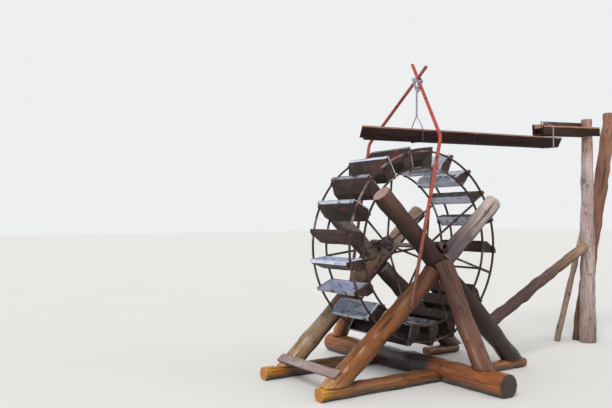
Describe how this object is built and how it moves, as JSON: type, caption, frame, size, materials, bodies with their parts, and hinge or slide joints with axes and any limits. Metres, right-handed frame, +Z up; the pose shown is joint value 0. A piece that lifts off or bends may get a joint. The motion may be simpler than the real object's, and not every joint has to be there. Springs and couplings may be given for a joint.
{
  "type": "overshot water wheel",
  "caption": "Small overshot water wheel of folded steel trays on two crossed log frames, fed by a hung plank trough from a log post.",
  "frame": {"origin": "on the ground below the middle of the wheel, in the middle of the flat underside of the cross sleeper", "axes": "+X along the trough from its free end towards the post, +Y along the axle away from the picture's viewer, +Z up"},
  "size_m": [5.5724, 2.88, 3.433],
  "materials": {
    "log_wood": "weathered round log, bark off",
    "board_wood": "dark wet board",
    "bar_steel": "worn red-brown paint over rust",
    "rope": "grey twisted rope",
    "strap": "pale grey webbing",
    "bearing_iron": "dark greasy iron",
    "axle_steel": "bright worn steel tube",
    "ring_steel": "black and rusty bar",
    "spoke_steel": "light galvanised flat bar",
    "tray_sheet": "galvanised sheet with rust"
  },
  "bodies": {
    "frame": {"cross_sleeper": "log_wood", "near_sill": "log_wood", "far_sill": "log_wood", "near_foot_pad": "log_wood", "far_foot_pad": "log_wood", "near_left_log": "log_wood", "near_right_log": "log_wood", "far_left_log": "log_wood", "far_right_log": "log_wood", "near_brace": "log_wood", "far_brace": "log_wood", "post": "log_wood", "leaning_log": "log_wood", "post_brace": "log_wood", "post_prop": "log_wood", "foot_board": "board_wood", "trough_near_board": "board_wood", "trough_far_board": "board_wood", "trough_floor": "board_wood", "feed_near_board": "board_wood", "feed_far_board": "board_wood", "feed_floor": "board_wood", "feed_rail": "board_wood", "feed_spreader": "board_wood", "near_hanger_bar": "bar_steel", "far_hanger_bar": "bar_steel", "hanger_rope": "rope", "feed_strap": "strap", "near_bearing": "bearing_iron", "far_bearing": "bearing_iron"},
    "wheel": {"axle": "axle_steel", "near_outer_ring": "ring_steel", "near_inner_ring": "ring_steel", "far_outer_ring": "ring_steel", "far_inner_ring": "ring_steel", "near_spokes": "spoke_steel", "far_spokes": "spoke_steel", "bare_ties": "ring_steel", "tray_01": "tray_sheet", "tray_02": "tray_sheet", "tray_03": "tray_sheet", "tray_04": "tray_sheet", "tray_05": "tray_sheet", "tray_06": "tray_sheet", "tray_07": "tray_sheet", "tray_08": "tray_sheet", "tray_09": "tray_sheet", "tray_10": "tray_sheet", "tray_11": "tray_sheet", "tray_12": "tray_sheet", "tray_13": "tray_sheet", "tray_14": "tray_sheet", "tray_15": "tray_sheet", "tray_16": "tray_sheet", "tray_17": "tray_sheet", "tray_18": "tray_sheet", "tray_19": "tray_sheet", "tray_20": "tray_sheet"}
  },
  "joints": [
    {"name": "wheel_spin", "type": "hinge", "parent": "frame", "child": "wheel", "pos_m": [0, 0, 1.37], "axis": [0, -1, 0], "continuous": true}
  ]
}
